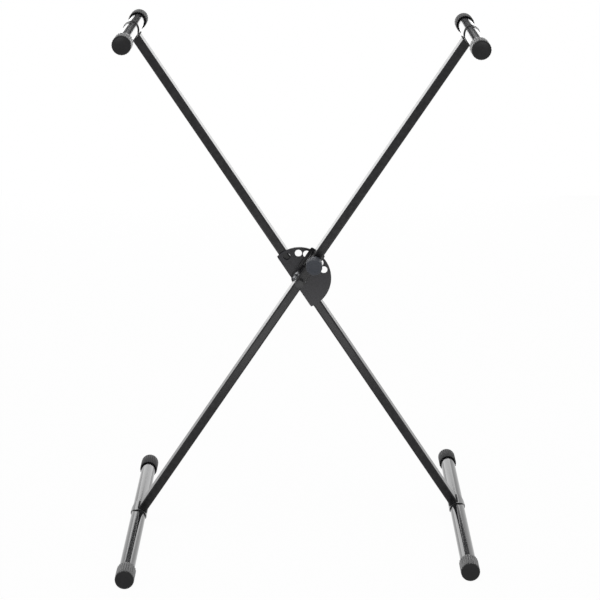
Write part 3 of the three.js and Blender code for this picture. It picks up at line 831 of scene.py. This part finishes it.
# ---- Pull knob
# A moulded blue-grey plastic knob pressed on the lock pin's stem, with shallow finger grooves
# round its side, a dished face and a necked back.
KNOB_RADIUS = 0.0135
KNOB_EDGE = 0.003
KNOB_EDGE_STEPS = 4
KNOB_NECK = 0.0095
KNOB_NECK_LENGTH = 0.004
KNOB_DISH_RADIUS = 0.009
KNOB_DISH_DEPTH = 0.0012
KNOB_GROOVES = 16
KNOB_GROOVE_DEPTH = 0.00045
KNOB_CREST = 0.45
KNOB_GROOVE_STEPS = 12
KNOB_SOCKET = 0.018


def knob(front, back):
    """The knob about Y, from its dished face to its neck, with the pin's socket in its back."""
    rings = [
        (front + KNOB_DISH_DEPTH, POLE_RADIUS, 0),
        (front + KNOB_DISH_DEPTH, KNOB_DISH_RADIUS - 2 * KNOB_DISH_DEPTH, 0),
        (front + KNOB_DISH_DEPTH / 4, KNOB_DISH_RADIUS - KNOB_DISH_DEPTH / 2, 0),
        (front, KNOB_DISH_RADIUS + KNOB_DISH_DEPTH / 4, 0),
        (front, KNOB_RADIUS - KNOB_EDGE, 0),
    ]
    for step in range(1, KNOB_EDGE_STEPS + 1):
        turn = math.radians(90 * step / KNOB_EDGE_STEPS)
        inward = KNOB_EDGE * (1 - math.sin(turn))
        rings.append((
            front + KNOB_EDGE * (1 - math.cos(turn)),
            KNOB_RADIUS - inward,
            KNOB_GROOVE_DEPTH * step / KNOB_EDGE_STEPS,
        ))
    shoulder = back - KNOB_NECK_LENGTH
    rings += [
        (shoulder - KNOB_EDGE, KNOB_RADIUS, KNOB_GROOVE_DEPTH),
        (shoulder - KNOB_EDGE / 3, KNOB_RADIUS - KNOB_EDGE / 3, KNOB_GROOVE_DEPTH / 2),
        (shoulder, KNOB_NECK, 0),
        (back, KNOB_NECK, 0),
        (back, STEM_RADIUS + SEAT_GAP, 0),
        (back - KNOB_SOCKET, STEM_RADIUS + SEAT_GAP, 0),
        (back - KNOB_SOCKET, POLE_RADIUS, 0),
    ]
    return fluted_form(rings, KNOB_GROOVES, KNOB_CREST, KNOB_GROOVE_STEPS)


# Moulded plastic, dark blue-grey: soft satin with a fine texture.
blue_grey = surface(
    "blue_grey_knob_plastic", colour=(0.020, 0.024, 0.033, 1), pale=(0.030, 0.035, 0.046, 1),
    pale_span=(0.35, 0.7), roughness=(0.5, 0.64), cloud_scale=140, cloud_detail=4,
    grain_scale=1800, grain_strength=0.25, grain_depth=0.00008,
)
knob_low, knob_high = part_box("lock_knob")
fitted(
    knob(knob_low.y, knob_high.y), "plastic_lock_knob", "lock_plunger",
    blue_grey, nodes=["lock_knob"], axes=at_pin, sharp=50,
)


# ---- Weld beads
# Rippled fillet welds under the coat: round each leg end where it sits on its collar, along
# the rear leg's front edges where the lock plate sits on it, and down the bracket's ears.
BEAD_RADIUS = 0.0011
BEAD_RIPPLE = 0.0014
BEAD_SWELL = 0.3
BEAD_SWAY = 0.12
BEAD_SWAY_LENGTH = 3.7 * BEAD_RIPPLE
BEAD_TIP = 0.3
BEAD_SIDES = 8
BEAD_STEP = 0.00035
PLATE_WELDS = ((-0.034, -0.012), (0.012, 0.034))
EAR_REACH = 0.009
EAR_WELD = 0.022


def bead(path):
    """A rippled bead along a path of points, thinner at both ends."""
    bm = bmesh.new()
    last = len(path) - 1
    bmesh.ops.create_circle(bm, segments=BEAD_SIDES, radius=1)
    loop, corners = list(bm.edges), list(bm.verts)
    travel = 0.0
    for number, point in enumerate(path):
        before = path[max(number - 1, 0)]
        after = path[min(number + 1, last)]
        along = (after - before).normalized()
        across = along.orthogonal().normalized()
        up = along.cross(across)
        travel += (point - before).length
        swell = 1 + BEAD_SWELL * math.sin(2 * math.pi * travel / BEAD_RIPPLE)
        sway = 1 + BEAD_SWAY * math.sin(2 * math.pi * travel / BEAD_SWAY_LENGTH)
        radius = BEAD_RADIUS * swell * sway
        if number in (0, last):
            radius *= BEAD_TIP
        if number:
            loop, corners = next_ring(bm, loop)
        for side, v in enumerate(corners):
            turn = 2 * math.pi * side / BEAD_SIDES
            v.co = point + radius * (math.cos(turn) * across + math.sin(turn) * up)
    ends = [e for e in bm.edges if len(e.link_faces) == 1]
    bmesh.ops.holes_fill(bm, edges=ends)
    bmesh.ops.recalc_face_normals(bm, faces=bm.faces)
    return bm


def straight(start, end):
    """Points in even steps from start to end."""
    start, end = Vector(start), Vector(end)
    steps = max(2, round((end - start).length / BEAD_STEP))
    return [start.lerp(end, n / steps) for n in range(steps + 1)]


def leg_end_path(y, end):
    """Round the foot of a leg on its collar, in the leg's own axes; end is -1 below, 1 above."""
    half_face = LEG_FACE / 2 + SEAT_GAP
    half_depth = LEG_DEPTH / 2 + SEAT_GAP
    corners = [
        (-half_face, -half_depth),
        (half_face, -half_depth),
        (half_face, half_depth),
        (-half_face, half_depth),
        (-half_face, -half_depth),
    ]
    path = []
    for a, b in zip(corners, corners[1:]):
        path += straight((*a, 0), (*b, 0))[:-1]
    seat = COLLAR_RADIUS + BEAD_RADIUS / 3
    for point in path:
        drop = math.sqrt(seat * seat - point.x * point.x)
        point.z = end * (leg_length / 2 - drop)
        point.y += y
    path.append(path[0].copy())
    return path


for tube, (body, axes) in TUBES.items():
    y = rear_leg_y if body == "rear_frame" else front_leg_y
    end = -1 if tube.endswith("foot") else 1
    fitted(
        bead(leg_end_path(y, end)), f"weld_{tube}_leg_end", body, coat,
        axes=axes, sharp=80,
    )

rear_leg_front = rear_leg_y - LEG_DEPTH / 2
bracket_middle = (front_axes.inverted() @ middle("lock_bracket")).z
ear_front = front_leg_back - EAR_REACH
for hand, side in (("left", -1), ("right", 1)):
    x = side * (LEG_FACE / 2 + SEAT_GAP)
    for number, (low, high) in enumerate(PLATE_WELDS):
        path = straight((x, rear_leg_front, low), (x, rear_leg_front, high))
        fitted(
            bead(path), f"weld_plate_{hand}_{number}", "rear_frame", coat,
            axes=rear_axes, sharp=80,
        )
for hand, side in (("left", -1), ("right", 1)):
    x = side * (LEG_FACE / 2 + SEAT_GAP + BEAD_RADIUS / 2)
    path = straight(
        (x, ear_front, bracket_middle - EAR_WELD / 2),
        (x, ear_front, bracket_middle + EAR_WELD / 2),
    )
    fitted(
        bead(path), f"weld_bracket_{hand}", "front_frame", gloss,
        axes=front_axes, sharp=80,
    )


# ---- Studio
# A white floor that ends at a wide light panel behind the stand, with a dark card along the
# panel's top, which draws the tubes' dark tops, an overhead softbox and a low light in front.
FLOOR_SIZE = 40
FLOOR_WHITE = 0.92
FLOOR_SHADOW = 0.03
WORLD_LIGHT = 0.5
PANEL_Y = 2.7
PANEL_TOP = 1.08
LOW_PANEL_TOP = 0.7
CARD_TOP = 1.32
CARD_HALF_WIDTH = 1.5
CARD_GREY = 0.03
CARD_BLUE = 1.08 * CARD_GREY


def white_to_view(tree, plain_shader, share):
    """Mixes the shader towards flat white for the rays that show a background."""
    nodes, links = tree.nodes, tree.links
    rays = nodes.new("ShaderNodeLightPath")
    seen = nodes.new("ShaderNodeMath")
    seen.operation = "MAXIMUM"
    any_view = nodes.new("ShaderNodeMath")
    any_view.operation = "MAXIMUM"
    amount = nodes.new("ShaderNodeMath")
    amount.operation = "MULTIPLY"
    amount.inputs[1].default_value = share
    mix = nodes.new("ShaderNodeMixShader")
    links.new(rays.outputs["Is Camera Ray"], seen.inputs[0])
    links.new(rays.outputs["Is Glossy Ray"], seen.inputs[1])
    links.new(seen.outputs["Value"], any_view.inputs[0])
    links.new(rays.outputs["Is Transmission Ray"], any_view.inputs[1])
    links.new(any_view.outputs["Value"], amount.inputs[0])
    links.new(amount.outputs["Value"], mix.inputs["Fac"])
    links.new(plain_shader.outputs[0], mix.inputs[1])
    return mix


def white_floor():
    """Matt white that shows white itself, with only a trace of the stand's shadow."""
    material = bpy.data.materials.new("white_floor")
    material.use_nodes = True
    tree = material.node_tree
    tree.nodes.clear()
    paper = tree.nodes.new("ShaderNodeBsdfDiffuse")
    paper.inputs["Color"].default_value = (FLOOR_WHITE, FLOOR_WHITE, FLOOR_WHITE, 1)
    glow = tree.nodes.new("ShaderNodeEmission")
    glow.inputs["Strength"].default_value = 1
    mix = white_to_view(tree, paper, 1 - FLOOR_SHADOW)
    tree.links.new(glow.outputs[0], mix.inputs[2])
    out = tree.nodes.new("ShaderNodeOutputMaterial")
    tree.links.new(mix.outputs[0], out.inputs["Surface"])
    return material


floor_mesh = bmesh.new()
bmesh.ops.create_grid(floor_mesh, x_segments=1, y_segments=1, size=FLOOR_SIZE / 2)
floor_mesh.transform(Matrix.Translation((0, PANEL_Y - FLOOR_SIZE / 2, 0)))
floor = loose_object(floor_mesh, "floor")
floor.data.materials.append(white_floor())

world = bpy.data.worlds.new("studio")
world.use_nodes = True
bpy.context.scene.world = world
sky = world.node_tree
sky.nodes.clear()
plain = sky.nodes.new("ShaderNodeBackground")
plain.inputs["Color"].default_value = (1, 1, 1, 1)
plain.inputs["Strength"].default_value = WORLD_LIGHT
backdrop = sky.nodes.new("ShaderNodeBackground")
backdrop.inputs["Color"].default_value = (1, 1, 1, 1)
backdrop.inputs["Strength"].default_value = 1
world_mix = white_to_view(sky, plain, 1)
sky.links.new(backdrop.outputs[0], world_mix.inputs[2])
world_out = sky.nodes.new("ShaderNodeOutputWorld")
sky.links.new(world_mix.outputs[0], world_out.inputs["Surface"])


def softbox(name, place, aim, width, height, radiance):
    """An area lamp at place that faces aim; radiance is its own brightness, white being 1."""
    lamp = bpy.data.lights.new(name, "AREA")
    lamp.shape = "RECTANGLE"
    lamp.size = width
    lamp.size_y = height
    lamp.energy = radiance * math.pi * width * height
    item = bpy.data.objects.new(name, lamp)
    item.location = place
    item.rotation_euler = (Vector(aim) - Vector(place)).to_track_quat("-Z", "Y").to_euler()
    item.visible_camera = False
    bpy.context.scene.collection.objects.link(item)
    return item


softbox(
    "overhead", place=(0, -0.3, 2.6), aim=(0, 0, 0.4), width=1.4, height=1.4, radiance=2.2,
)
for name, x, width, top, radiance in (
    ("back_panel", -0.2, 2, PANEL_TOP, 1.05),
    ("panel_middle", -0.18, 1.15, PANEL_TOP, 0.35),
    ("panel_low", -0.18, 1.15, LOW_PANEL_TOP, 0.6),
):
    softbox(name, (x, PANEL_Y, top / 2), (x, 0, top / 2), width, top, radiance)
softbox(
    "low_front", place=(0, -1.12, 0.03), aim=(0, -1.12, 1), width=1.1, height=0.56, radiance=2.6,
)

card_mesh = bmesh.new()
bmesh.ops.create_grid(card_mesh, x_segments=1, y_segments=1, size=1)
card_mesh.transform(
    Matrix.Translation((0, PANEL_Y, (PANEL_TOP + CARD_TOP) / 2))
    @ LIE_ALONG_Y
    @ Matrix.Diagonal((CARD_HALF_WIDTH, (CARD_TOP - PANEL_TOP) / 2, 1, 1))
)
card = loose_object(card_mesh, "dark_card")
card_paint = bpy.data.materials.new("dark_card")
card_paint.use_nodes = True
card_paint.node_tree.nodes.clear()
card_glow = card_paint.node_tree.nodes.new("ShaderNodeEmission")
card_glow.inputs["Color"].default_value = (CARD_GREY, CARD_GREY, CARD_BLUE, 1)
card_out = card_paint.node_tree.nodes.new("ShaderNodeOutputMaterial")
card_paint.node_tree.links.new(card_glow.outputs[0], card_out.inputs["Surface"])
card.data.materials.append(card_paint)
card.visible_camera = False


# ---- Camera
# The photograph's viewpoint: 3.2 m in front of the stand, a little above it, looking down,
# through a long lens.
CAMERA_PLACE = (0.00087, -3.1657, 1.2611)
CAMERA_DIP = 15.233
CAMERA_ROLL = 0.215
SENSOR_WIDTH = 36
LENS = 116.925

camera_data = bpy.data.cameras.new("camera")
camera_data.sensor_width = SENSOR_WIDTH
camera_data.lens = LENS
camera_data.clip_end = 100
camera = bpy.data.objects.new("camera", camera_data)
camera.matrix_world = (
    Matrix.Translation(CAMERA_PLACE)
    @ Matrix.Rotation(math.radians(90 - CAMERA_DIP), 4, "X")
    @ Matrix.Rotation(math.radians(CAMERA_ROLL), 4, "Z")
)
bpy.context.scene.collection.objects.link(camera)
bpy.context.scene.camera = camera

bpy.context.scene.view_settings.view_transform = "Standard"
